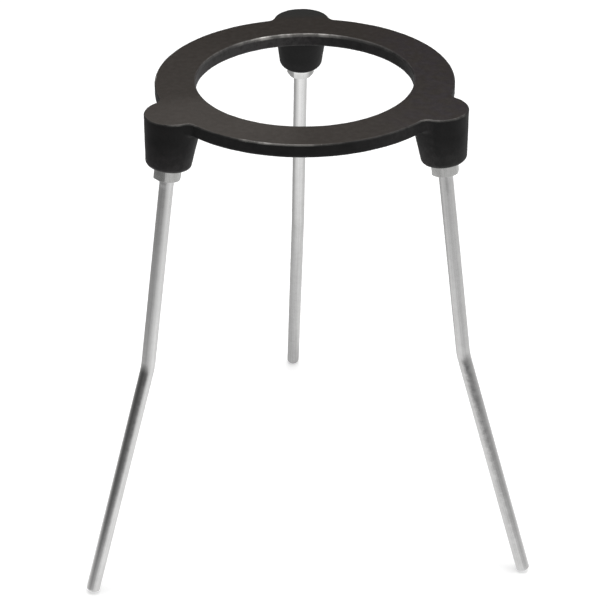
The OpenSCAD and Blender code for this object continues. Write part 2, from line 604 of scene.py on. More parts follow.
@dataclass(frozen=True)
class BlackIronFinish:
    """Black finish on a sand casting, paler on top partly from fading and partly as painted light from
    above, and bright along the rims partly from wear and partly as painted highlight.

    Scales count lumps in a metre, and places on the casting are metres.
    """

    # The sides' near-black colours are darkened to stand for painted shade, and the top's paler colours
    # partly paint light from above
    side_colour: tuple = (0.004, 0.004, 0.0042, 1)
    side_faded: tuple = (0.008, 0.0077, 0.0077, 1)
    # Grey of dust on the sides, which also paints sheen on the bosses and in the opening
    dust_and_sheen_colour: tuple = (0.052, 0.0435, 0.0475, 1)
    dust_and_sheen_paler: tuple = (0.0455, 0.0475, 0.0445, 1)
    top_colour: tuple = (0.0135, 0.0095, 0.0068, 1)
    top_faded: tuple = (0.058, 0.0505, 0.045, 1)
    violet_colour: tuple = (0.012, 0.010, 0.06, 1)
    back_colour: tuple = (0.0105, 0.0105, 0.0095, 1)
    # Colour of iron worn through on the rims, which also serves as their painted highlight
    bare_colour: tuple = (0.50, 0.485, 0.46, 1)
    bare_metallic: float = 0.7
    specular: float = 0.2
    top_facing: Ease = Ease(0.8, 0.985)
    patches: Clouds = Clouds(32.0, 1.6)
    grain: Grain = Grain(420.0, 0.45)
    smears: Clouds = Clouds(180.0, 2.4)
    smeared: float = 0.14
    speckle: Ease = Ease(0.5, 1.0, 0.6, 1.5)
    wear: Wear = Wear(150.0)
    faded_toward: tuple = (-0.6, -0.8, 0.0)
    faded_slowly: Ease = Ease(-0.06, 0.042, 0.0, 0.27)
    faded_most: Ease = Ease(0.77, 0.94, 0.0, 0.38)
    faded_patches: Ease = Ease(0.0, 1.0, 0.85, 1.15)
    faded_lumps: Ease = Ease(0.5, 1.0, -0.06, 0.13)
    violet_side: Ease = Ease(0.02, 0.05, 0.0, 0.05)
    violet_smears: Ease = Ease(0.2, 0.8, 0.3, 1.7)
    back_lobe: Ease = Ease(0.0605, 0.067)
    roughness: Ease = Ease(0.0, 1.0, 0.45, 0.6)
    pits_rougher: float = 0.1
    bare_smoother: float = -0.12
    relief: float = 0.00006
    chip_height: float = -1.5

    def material(self, kit: GroupKit) -> bpy.types.Material:
        """Builds the finish.

        Args:
            kit: The shared shader groups.

        Returns:
            The material.
        """
        material, nodes, shader = new_material("black_iron")
        shader.inputs["Specular IOR Level"].default_value = self.specular
        geometry = nodes.add("NewGeometry").outputs
        place = geometry["Position"]
        patches = self.patches.mask(nodes, kit, place)
        smears = self.smears.mask(nodes, kit, place)
        lumps, pits = self.grain.lumps(nodes, kit, place)
        # The rubbed line along the rims is partly wear and partly a painted highlight
        rubbed, chips = self.wear.edges(nodes, kit, place, nodes.mask("rubbing_and_highlight"))
        # The grey on the sides is partly dust and partly painted sheen
        grime_and_sheen = nodes.times(nodes.mask("dust_and_sheen"), nodes.ease(lumps, self.speckle))
        settled_and_sheen = nodes.times_plus(smears, self.smeared, grime_and_sheen)
        clean = nodes.blend(patches, self.side_colour, self.side_faded)
        dusty_and_sheen = nodes.blend(patches, self.dust_and_sheen_colour, self.dust_and_sheen_paler)
        side = nodes.blend(settled_and_sheen, clean, dusty_and_sheen)
        top = self.top(nodes, place, patches, smears, lumps)
        # Top and sides take their colours by which way the surface faces: partly faded paint, partly
        # painted light on the top and painted shade on the sides
        upward = nodes.ease(nodes.part(geometry["Normal"], "Z"), self.top_facing)
        paint = nodes.blend(upward, side, top)
        bare_and_highlight = nodes.maths("MAXIMUM", rubbed, chips)
        nodes.feed(shader.inputs["Base Color"], nodes.blend(bare_and_highlight, paint, self.bare_colour))
        nodes.feed(shader.inputs["Metallic"], nodes.times(bare_and_highlight, self.bare_metallic))
        uneven = nodes.ease(patches, self.roughness)
        pitted = nodes.times_plus(pits, self.pits_rougher, uneven)
        polished = nodes.times_plus(bare_and_highlight, self.bare_smoother, pitted)
        nodes.feed(shader.inputs["Roughness"], polished)
        nodes.emboss(shader, nodes.times_plus(chips, self.chip_height, lumps), self.relief)
        return material

    def top(
        self, nodes: Nodes, place: Socket, patches: Socket, smears: Socket, lumps: Socket
    ) -> Socket:
        """Colour of the level top: faded to one side, and tinted at the right and the back.

        Args:
            nodes: The material's nodes.
            place: Position on the casting.
            patches: Wide cloudy mask.
            smears: Small cloudy mask.
            lumps: Height of the casting's grain.

        Returns:
            The colour.
        """
        toward = nodes.vector("DOT_PRODUCT", place, self.faded_toward)
        bearing = nodes.vector("NORMALIZE", nodes.vector("MULTIPLY", place, (1, 1, 0)))
        near = nodes.vector("DOT_PRODUCT", bearing, self.faded_toward)
        most = nodes.ease(near, self.faded_most)
        both = nodes.maths("ADD", nodes.ease(toward, self.faded_slowly), most)
        uneven = nodes.ease(patches, self.faded_patches)
        fading = nodes.times_plus(both, uneven, nodes.ease(lumps, self.faded_lumps))
        top = nodes.blend(fading, self.top_colour, self.top_faded)
        at_right = nodes.ease(nodes.part(place, "X"), self.violet_side)
        violet = nodes.times(at_right, nodes.ease(smears, self.violet_smears))
        top = nodes.blend(violet, top, self.violet_colour)
        at_back = nodes.ease(nodes.part(place, "Y"), self.back_lobe)
        return nodes.blend(at_back, top, self.back_colour)


@dataclass(frozen=True)
class ZincFinish:
    """Satin zinc plating on drawn steel, with scales as lumps in a metre."""

    name: str
    colour: tuple = (0.76, 0.757, 0.754, 1)
    dull_colour: tuple = (0.61, 0.607, 0.603, 1)
    bare_colour: tuple = (0.82, 0.82, 0.82, 1)
    # Colours of the painted dark reflection and the painted highlight on the plating
    painted_dark_colour: tuple = (0.06, 0.06, 0.06, 1)
    highlight_colour: tuple = (0.92, 0.92, 0.915, 1)
    satin: Ease = Ease(0.1, 0.9, 0.04, 0.14)
    clouds: Clouds = Clouds(90.0, 2.0)
    clouded: float = 0.4
    mottles: Clouds = Clouds(420.0, 2.2)
    mottled: float = 0.3
    drawn_lines: Grain = Grain(1500.0, 0.3)
    line_stretch: float = 0.012
    streaks: Ease = Ease(0.35, 0.95, 0.0, 0.6)
    broken: Ease = Ease(0.1, 0.9, 0.72, 1.28)
    crystals: Grain = Grain(1800.0, 0.5)
    crystal_height: float = 0.6
    relief: float = 0.000014
    wear: Wear = Wear(300.0)
    worn: float = 0.5

    def material(self, kit: GroupKit) -> bpy.types.Material:
        """Builds the finish.

        Args:
            kit: The shared shader groups.

        Returns:
            The material.
        """
        material, nodes, shader = new_material(self.name)
        shader.inputs["Metallic"].default_value = 1.0
        place = nodes.add("NewGeometry").outputs["Position"]
        along = nodes.add("UVMap", uv_map="along").outputs[0]
        stretched = nodes.vector("MULTIPLY", along, (1.0, self.line_stretch, 1.0))
        cloud = self.clouds.mask(nodes, kit, place)
        mottle = self.mottles.mask(nodes, kit, place)
        lines, _ = self.drawn_lines.lumps(nodes, kit, stretched)
        crystals, _ = self.crystals.lumps(nodes, kit, place)
        rubbed, _ = self.wear.edges(nodes, kit, place, self.worn)
        clouds = nodes.times_plus(cloud, self.clouded, nodes.times(mottle, self.mottled))
        share = nodes.maths("ADD", nodes.ease(lines, self.streaks), clouds)
        plate = nodes.blend(share, self.colour, self.dull_colour)
        # Stripes of painted shade, dark reflection and highlight, from what each piece holds
        painted_tone = nodes.mask("painted_tone")
        dark_stripe = nodes.times(nodes.maths("MAXIMUM", painted_tone, 0.0), nodes.ease(mottle, self.broken))
        bright = nodes.maths("MAXIMUM", nodes.times(painted_tone, -1.0), 0.0)
        plate = nodes.blend(dark_stripe, plate, self.painted_dark_colour)
        plate = nodes.blend(bright, plate, self.highlight_colour)
        nodes.feed(shader.inputs["Base Color"], nodes.blend(rubbed, plate, self.bare_colour))
        nodes.feed(shader.inputs["Roughness"], nodes.ease(share, self.satin))
        nodes.emboss(shader, nodes.times_plus(crystals, self.crystal_height, lines), self.relief)
        return material


# ---------------------------------------------------------------- the stand's parts


@dataclass(frozen=True)
class PaintedStripe:
    """A stripe down one side of a rod or nut: painted shade and dark reflection, and a painted highlight
    where its darkening is below zero.
    """

    bearing: float
    width: float
    darkening: float
    start: float = -9.0
    end: float = 900.0

    begins = Ease(-1.0, 3.0)

    def strength(self, bearings: np.ndarray, depth: float) -> np.ndarray:
        """How dark the painted stripe is all round at one depth, below zero for a painted highlight.

        Args:
            bearings: Which way the surface looks, in degrees round the stand's axis.
            depth: Distance down from the upper end.

        Returns:
            One value for each bearing.
        """
        across = np.exp(-((bearing_off(bearings, self.bearing) / self.width) ** 2))
        left = np.clip((self.end - depth) / (self.end - self.start), 0.0, 1.0)
        return self.darkening * across * left * self.begins.of(depth - self.start)


@dataclass(frozen=True)
class LegSetting:
    """How one leg was fitted: the lean of its boss, its bend's turn, its thread and nut."""

    place: LegPlace
    out_lean: float
    side_lean: float
    bend_turn: float
    screw_in: float
    nut_turn: float
    # Stripes of painted shade, reflection and highlight on the rod and on the nut
    rod_painted_stripes: tuple[PaintedStripe, ...] = ()
    nut_painted_stripes: tuple[PaintedStripe, ...] = ()


@dataclass(frozen=True)
class StudFrame:
    """Place, directions and sizes of a boss and its stud, with the stud along -Z."""

    setting: LegSetting
    stand_h: float
    pitch_r: float = 61.5
    boss_len: float = 23.4
    tapped_r: float = 3.05

    @property
    def rotation(self) -> np.ndarray:
        """Turns the stud's own directions into the stand's."""
        return (
            turn("Z", self.setting.place.direction)
            @ turn("Y", -self.setting.out_lean)
            @ turn("X", self.setting.side_lean)
        )

    @property
    def origin(self) -> np.ndarray:
        """Where the stud's axis meets the top face."""
        outward = turn("Z", self.setting.place.direction) @ [self.pitch_r, 0.0, 0.0]
        return outward + [0.0, 0.0, self.stand_h]

    def to_stand(self, points: np.ndarray) -> np.ndarray:
        """Points given along the stud, in the stand's frame."""
        return points @ self.rotation.T + self.origin

    def from_stand(self, points: np.ndarray) -> np.ndarray:
        """Points of the stand, given along the stud."""
        return (points - self.origin) @ self.rotation


@dataclass(frozen=True)
class CastSkin:
    """Slow hills and hollows of a sand-cast surface, as depths below the true form."""

    depth: float = 0.07
    shortest: float = 3.5
    longest: float = 15.0
    waves: int = 14
    swing: float = 0.25
    seed: int = 5

    def hollows(self, points: np.ndarray) -> np.ndarray:
        """Depth below the true form at each point.

        Args:
            points: Positions in millimetres.

        Returns:
            Depths from 0 to the full depth.
        """
        draw = np.random.RandomState(self.seed)
        total = np.zeros(points.shape[:-1])
        for _ in range(self.waves):
            heading = draw.normal(size=3)
            length = self.shortest * (self.longest / self.shortest) ** draw.rand()
            pace = heading / np.linalg.norm(heading) * math.tau / length
            total += np.sin(points @ pace + draw.rand() * math.tau)
        return self.depth * (0.5 + self.swing * total / math.sqrt(self.waves / 2.0)).clip(0.0, 1.0)


@dataclass(frozen=True)
class CastSpot:
    """A patch of the casting, round the ring's axis, that is worn or greyed, partly as painted highlight
    and sheen.
    """

    angle: float
    radius: float
    spread: float
    reach: float
    amount: float

    full_spread = 0.3
    full_reach = 0.6

    def strength(self, points: np.ndarray) -> np.ndarray:
        """How much this spot shows at each point.

        Args:
            points: Positions in millimetres.

        Returns:
            Values from 0 to the spot's amount.
        """
        bearing = np.degrees(np.arctan2(points[:, 1], points[:, 0]))
        off = np.abs(bearing_off(bearing, self.angle))
        aside = np.abs(np.hypot(points[:, 0], points[:, 1]) - self.radius)
        along = 1.0 - smooth_step(self.full_spread * self.spread, self.spread, off)
        return self.amount * along * (1.0 - smooth_step(self.full_reach * self.reach, self.reach, aside))


@dataclass
class RingHead:
    """The casting: a flat ring with three leaning, tapered bosses."""

    studs: list[StudFrame]
    stand_h: float
    opening_r: float
    ring_r: float = OUTER_RIM
    ring_t: float = 6.0
    top_edge_r: float = 0.7
    low_edge_r: float = 1.4
    web_r: float = 2.5
    low_fillet_r: float = 1.3
    fillet_change: float = 1.5
    boss_top_r: float = 12.2
    boss_end_r: float = 9.25
    boss_edge_r: float = 2.2
    hole_depth: float = 17.0
    drill_point: float = 118.0
    skin: CastSkin = CastSkin()

    # How closely the surface is sampled
    steps_around: int = 720
    rim_w: float = 1.2
    rim_step: float = 0.22
    flat_step: float = 0.9
    boss_step: float = 0.5
    wall_rows: int = 14
    settling_passes: int = 3

    # Where the rims are rubbed, and where their painted highlights lie
    rub_and_highlight_spots: tuple[CastSpot, ...] = (
        CastSpot(97.0, INNER_RIM, 40.0, 5.0, 0.8),
        CastSpot(111.0, INNER_RIM, 5.0, 5.0, 1.0),
        CastSpot(150.0, INNER_RIM, 24.0, 5.0, 0.12),
        CastSpot(52.0, INNER_RIM, 30.0, 5.0, 0.12),
        CastSpot(251.0, OUTER_RIM, 9.0, 4.0, 0.6),
        CastSpot(262.0, OUTER_RIM, 26.0, 4.0, 0.28),
        CastSpot(220.0, 64.0, 7.0, 7.0, 0.24),
        CastSpot(208.0, 71.0, 14.0, 7.0, 0.1),
        CastSpot(322.0, 68.0, 11.0, 9.0, 0.22),
        CastSpot(178.0, OUTER_RIM, 3.0, 4.0, 0.7),
    )
    rub_and_highlight_least: float = 0.05
    rub_and_highlight_heights: Ease = Ease(-2.6, -0.8)
    wall_wear_and_highlight: float = 0.8
    wall_wear_and_highlight_depth: float = 2.3
    wall_depth: Ease = Ease(0.3, 0.9, 1.0, 0.0)

    # Where dust lies, or is missing if below zero; on the bosses and in the opening it also paints sheen
    dust_spots: tuple[CastSpot, ...] = (
        CastSpot(114.0, INNER_RIM, 34.0, 5.0, 0.22),
        CastSpot(310.0, OUTER_RIM, 24.0, 4.0, 0.2),
        CastSpot(90.0, 62.0, 24.0, 16.0, -0.45),
        CastSpot(202.0, 58.0, 12.0, 16.0, 0.06),
    )
    boss_dust_and_sheen: float = 0.6
    boss_dust_and_sheen_below: float = 2.0
    # Fades the greying out over each boss's lower end, which paints a dark line of shade where the boss
    # meets its nut
    boss_end_shade: Ease = Ease(-1.6, -0.2, 1.0, 0.0)
    inside_dust_and_sheen: Ease = Ease(0.5, 1.5, 1.0, 0.0)
    left_dust_and_sheen: Ease = Ease(-0.5, 0.6, 0.2, 0.8)
    far_left_dust_and_sheen: Ease = Ease(0.8, 0.97, 0.0, 0.5)

    @property
    def boss_len(self) -> float:
        """Length of each boss along its axis."""
        return self.studs[0].boss_len

    @property
    def taper(self) -> float:
        """Slope of a boss's side, in radians."""
        return math.atan((self.boss_top_r - self.boss_end_r) / self.boss_len)

    def boss_field(self, stud: StudFrame, points: np.ndarray) -> tuple[np.ndarray, np.ndarray]:
        """Distances to one boss, without its level top, and to its tapped hole.

        Args:
            stud: The boss's frame.
            points: Positions in millimetres.

        Returns:
            The signed distances to the boss and to the hole.
        """
        own = stud.from_stand(points)
        spread = np.hypot(own[..., 0], own[..., 1])
        depth = -own[..., 2]
        wall = self.boss_top_r - depth * math.tan(self.taper)
        side = (spread - wall) * math.cos(self.taper)
        boss = round_cut(side, depth - self.boss_len, self.boss_edge_r)
        half_point = math.radians(self.drill_point / 2.0)
        hole_top = self.boss_len - self.hole_depth
        below_tip = depth - hole_top + stud.tapped_r / math.tan(half_point)
        cone = spread * math.cos(half_point) - below_tip * math.sin(half_point)
        return boss, np.maximum(spread - stud.tapped_r, cone)

    def form(self, points: np.ndarray) -> np.ndarray:
        """Signed distance to the casting, negative in the iron.

        Args:
            points: Positions in millimetres.

        Returns:
            The distances.
        """
        radius = np.hypot(points[..., 0], points[..., 1])
        height = points[..., 2] - self.stand_h
        middle = (self.ring_r + self.opening_r) / 2.0
        walls = np.abs(radius - middle) - (self.ring_r - self.opening_r) / 2.0
        body = round_cut(walls, -self.ring_t - height, self.low_edge_r)
        low, high = -self.ring_t - self.fillet_change, -self.ring_t + self.fillet_change
        share = smooth_step(low, high, height)
        fillet = self.low_fillet_r + (self.web_r - self.low_fillet_r) * share
        holes = np.full(radius.shape, np.inf)
        for stud in self.studs:
            boss, hole = self.boss_field(stud, points)
            body = fillet_join(body, boss, fillet)
            holes = np.minimum(holes, hole)
        body = round_cut(body, height, self.top_edge_r)
        return np.maximum(body, -holes) + self.skin.hollows(points)

    def beside(self, points: np.ndarray, step: float) -> list[tuple[np.ndarray, np.ndarray]]:
        """The form a step ahead of and a step behind each point, along each axis."""
        shifts = np.eye(3) * step
        return [(self.form(points + shift), self.form(points - shift)) for shift in shifts]

    def slope(self, points: np.ndarray, step: float = 0.02) -> np.ndarray:
        """Direction in which the distance grows, by differences.

        Args:
            points: Positions in millimetres.
            step: Half the distance between the two samples.

        Returns:
            One unit vector for each point.
        """
        slope = np.stack([ahead - behind for ahead, behind in self.beside(points, step)], -1)
        return slope / np.linalg.norm(slope, axis=-1, keepdims=True).clip(TINY)

    def edge_mask(self, points: np.ndarray, step: float = 0.3) -> np.ndarray:
        """How sharply the surface turns outward, and the upper band of the opening's wall, where wear
        and a painted highlight lie.

        Args:
            points: Positions on the surface, in millimetres.
            step: Distance between the samples.

        Returns:
            One value for each point, from 0 on flats to 1 on the top rims.
        """
        here = self.form(points)
        total = sum(ahead + behind - 2.0 * here for ahead, behind in self.beside(points, step))
        turned = np.clip(total / step**2 * self.top_edge_r, 0.0, 1.0)
        wall = self.wall_depth.of(np.hypot(points[:, 0], points[:, 1]) - self.opening_r)
        height = points[:, 2] - self.stand_h
        band = smooth_step(-self.wall_wear_and_highlight_depth, -self.top_edge_r, height)
        return np.maximum(turned, self.wall_wear_and_highlight * wall * band)

    def rubbing_and_highlight_mask(self, points: np.ndarray) -> np.ndarray:
        """Where hands and vessels rub the top rims, and where highlights along them are painted.

        Args:
            points: Positions on the surface, in millimetres.

        Returns:
            One value from 0 to 1 for each point.
        """
        near_top = self.rub_and_highlight_heights.of(points[:, 2] - self.stand_h)
        rubbed = [spot.strength(points) for spot in self.rub_and_highlight_spots]
        return near_top * np.maximum(np.max(rubbed, axis=0), self.rub_and_highlight_least)

    def dust_and_sheen_mask(self, points: np.ndarray) -> np.ndarray:
        """Where the sides are greyed: low on the bosses and in the opening at the left, partly by a film
        of dirt and partly as painted sheen.

        Args:
            points: Positions on the surface, in millimetres.

        Returns:
            One value for each point, below 0 where the side is cleaner.
        """
        radius = np.hypot(points[:, 0], points[:, 1])
        depth = self.stand_h - points[:, 2]
        below = self.boss_dust_and_sheen_below
        on_boss = smooth_step(self.ring_t + below, self.boss_len + below, depth)
        # Less greying at the boss's lower end paints shade where it meets the nut
        on_boss *= self.boss_dust_and_sheen * self.boss_end_shade.of(depth - self.boss_len)
        leftward = -points[:, 0] / radius
        at_left = self.left_dust_and_sheen.of(leftward) + self.far_left_dust_and_sheen.of(leftward)
        inside = self.inside_dust_and_sheen.of(radius - self.opening_r) * at_left
        spots = sum(spot.strength(points) for spot in self.dust_spots)
        return np.maximum(on_boss, inside) + spots

    def grid(self) -> tuple[np.ndarray, np.ndarray]:
        """Radii and heights of the sampling grid, close together at the rims.

        Returns:
            The radii and the heights, in millimetres.
        """
        rim, fine, boss = self.rim_w, self.rim_step, self.boss_step
        past = 3 * fine
        far = max(np.hypot(*stud.origin[:2]) for stud in self.studs) + self.boss_top_r + 4 * boss
        flat_rows = round((self.ring_r - self.opening_r - 3 * rim) / self.flat_step)
        inner = np.arange(self.opening_r - past, self.opening_r + rim, fine)
        band = np.linspace(self.opening_r + rim, self.ring_r - 2 * rim, flat_rows)
        outer = np.arange(self.ring_r - 2 * rim + 2 * fine, self.ring_r + past, 2 * fine)
        lobes = np.arange(outer[-1] + boss, far, boss)
        low = self.stand_h - self.boss_len - 5 * boss
        bosses = np.arange(low, self.stand_h - self.ring_t - 2 * boss, boss)
        walls = np.linspace(bosses[-1] + boss, self.stand_h - rim, self.wall_rows)
        rims = np.arange(walls[-1] + fine, self.stand_h + past, fine)
        return np.concatenate([inner, band[1:], outer, lobes]), np.concatenate([bosses, walls, rims])

    def build(self) -> Piece:
        """Makes the casting's mesh.

        Returns:
            The piece.
        """
        radii, heights = self.grid()

        def place(cells: np.ndarray) -> np.ndarray:
            """Positions of grid coordinates."""
            angle = cells[:, 0] * math.tau / self.steps_around
            height = np.interp(cells[:, 1], np.arange(len(heights)), heights)
            radius = np.interp(cells[:, 2], np.arange(len(radii)), radii)
            return round_axis(radius, angle, height)

        height, radius = np.meshgrid(heights, radii, indexing="ij")
        angles = circle_angles(self.steps_around)
        values = np.stack([self.form(round_axis(radius, angle, height)) for angle in angles])
        points, faces = net_of_cells(values, place)
        for _ in range(self.settling_passes):
            points = points - self.form(points)[:, None] * self.slope(points)
        masks = {
            "edge": self.edge_mask(points),
            "rubbing_and_highlight": self.rubbing_and_highlight_mask(points),
            "dust_and_sheen": self.dust_and_sheen_mask(points),
        }
        return new_piece("ring_casting", points, faces, masks, normals=self.slope(points))


@dataclass(frozen=True)
class Thread:
    """A cut thread that fades out into the plain rod."""

    crest_r: float = 3.0
    root_r: float = 2.42
    rod_r: float = 2.95
    pitch: float = 1.0
    length: float = 20.0
    fade: float = 1.2
    run_out: float = 3.2
    bevel: float = 0.8
    groove: Ease = Ease(0.12, 0.88, 1.0, 0.0)

    def radius(self, angle: np.ndarray, depth: np.ndarray) -> np.ndarray:
        """Radius of the thread's surface.

        Args:
            angle: Angles round the rod, in radians.
            depth: Distances down from the rod's upper end.

        Returns:
            The radii.
        """
        wave = np.abs((depth / self.pitch - angle / math.tau) % 1.0 - 0.5) * 2.0
        left = self.length - depth
        outer = self.rod_r + (self.crest_r - self.rod_r) * np.clip(left / self.fade, 0.0, 1.0)
        share = smooth_step(self.run_out, self.run_out + self.pitch, left)
        groove = (self.crest_r - self.root_r) * self.groove.of(wave)
        return np.minimum(outer - groove * share, self.crest_r - self.bevel + depth)


@dataclass
class Leg:
    """A rod: threaded at the top, bent outward halfway down, bevelled at the foot."""

    stud: StudFrame
    upper_len: float = 103.5
    bend_a: float = 10.0
    bend_r: float = 30.0
    thread: Thread = Thread()
    foot_bevel: float = 0.8
    foot_soft: float = 0.09

    # Points in a ring, and how closely the rings follow each other down the rod
    columns: int = 48
    rings_a_pitch: float = 9.0
    ring_step: float = 3.0
    bend_rings: int = 14
    foot_rings: int = 11
    foot_clear: float = 0.5
    foot_above_bevel: float = 0.4
    foot_above_end: float = 0.05

    @property
    def reach(self) -> float:
        """Length of rod that the bend takes up on each side of its corner."""
        return self.bend_r * math.tan(math.radians(self.bend_a) / 2.0)

    @property
    def arc(self) -> float:
        """Length of rod in the bend."""
        return math.radians(self.bend_a) * self.bend_r

    @property
    def bend_start(self) -> float:
        """Distance from the rod's upper end to the bend."""
        return self.upper_len - self.reach

    @property
    def top(self) -> float:
        """Depth of the rod's upper end below the top face, along the stud."""
        return self.stud.boss_len - self.stud.setting.screw_in

    @property
    def directions(self) -> tuple[np.ndarray, np.ndarray]:
        """Turn of the bend about the stud, and turn of the rod below the bend."""
        bend_side = turn("Z", self.stud.setting.bend_turn)
        return bend_side, bend_side @ turn("Y", -self.bend_a)

    @property
    def lower_len(self) -> float:
        """Length below the bend's corner that brings the foot's lowest edge to the bench."""
        start = self.stud.to_stand(np.array([0.0, 0.0, -(self.top + self.upper_len)]))
        fall = -(self.stud.rotation @ self.directions[1] @ [0.0, 0.0, -1.0])[2]
        rim = self.thread.rod_r - self.foot_bevel
        return (start[2] - rim * math.sin(math.acos(fall))) / fall

    def rings(self) -> list[tuple[float, float]]:
        """Distances down the rod, each with how far the rod is drawn in there.

        Returns:
            Pairs of distance from the rod's upper end and inset of the surface.
        """
        thread_step = self.thread.pitch / self.rings_a_pitch
        thread_end = self.thread.length + thread_step
        bend_end = self.bend_start + self.arc
        total = bend_end + self.lower_len - self.reach
        step = self.ring_step
        depths = list(np.arange(0.0, thread_end, thread_step))
        depths += list(np.arange(thread_end + self.thread.pitch, self.bend_start, step))
        depths += list(np.linspace(self.bend_start, bend_end, self.bend_rings))
        foot = total - self.foot_bevel - self.foot_clear
        depths += list(np.arange(bend_end + step, foot, step))
        pairs = [(depth, 0.0) for depth in depths]
        highest = self.foot_bevel + self.foot_above_bevel
        for left in np.linspace(highest, self.foot_above_end, self.foot_rings):
            past_start = (self.foot_bevel - left) / self.foot_soft
            pairs.append((total - left, self.foot_soft * math.log1p(math.exp(past_start))))
        pairs.append((total, self.foot_bevel + self.foot_soft))
        pairs.append((total, self.thread.rod_r / 2.0))
        return pairs

    def centre(self, depth: float) -> tuple[np.ndarray, np.ndarray]:
        """Middle of the rod and its direction at a distance from the upper end.

        Args:
            depth: Distance along the rod.

        Returns:
            The point in the stud's frame, and the matrix whose last row points up the rod.
        """
        bend_side = self.directions[0]
        if depth <= self.bend_start:
            return np.array([0.0, 0.0, -self.top - depth]), bend_side
        corner = np.array([0.0, 0.0, -self.top - self.upper_len])
        swing = min((depth - self.bend_start) / self.bend_r, math.radians(self.bend_a))
        sideways = self.bend_r * (1.0 - math.cos(swing))
        down = self.reach - self.bend_r * math.sin(swing)
        point = corner + bend_side @ [sideways, 0.0, down]
        matrix = bend_side @ turn("Y", -math.degrees(swing))
        past = max(depth - self.bend_start - self.arc, 0.0)
        return point - matrix @ [0.0, 0.0, past], matrix

    def build(self) -> Piece:
        """Makes the leg's mesh.

        Returns:
            The piece.
        """
        angles = circle_angles(self.columns)
        pairs = self.rings()
        setting = self.stud.setting
        bearings = np.degrees(angles) + setting.place.direction + setting.bend_turn
        rows = []
        for depth, inset in pairs:
            centre, matrix = self.centre(depth)
            radius = self.thread.radius(angles, np.full(self.columns, depth)) - inset
            ring = self.stud.to_stand(round_axis(radius, angles, 0.0) @ matrix.T + centre)
            edge = np.full(self.columns, min(inset / self.foot_bevel, 1.0))
            painted_tone = sum(mark.strength(bearings, depth) for mark in setting.rod_painted_stripes)
            rows.append((ring, unrolled(angles, self.thread.rod_r, depth), edge, painted_tone))
        for depth in (pairs[0][0], pairs[-1][0]):
            cap = self.stud.to_stand(self.centre(depth)[0][None])
            rows.append((cap, [[0.0, depth]], [0.0], [0.0]))
        points, uv, edge, painted_tone = map(np.concatenate, zip(*rows))
        faces = ring_faces(len(pairs), self.columns)
        first = len(pairs) * self.columns
        bottom = first - self.columns
        for column in range(self.columns):
            after = (column + 1) % self.columns
            faces.append([first, column, after])
            faces.append([first + 1, bottom + after, bottom + column])
        masks = {"edge": edge, "painted_tone": painted_tone}
        return new_piece(setting.place.word + "_rod", points, faces, masks, uv)


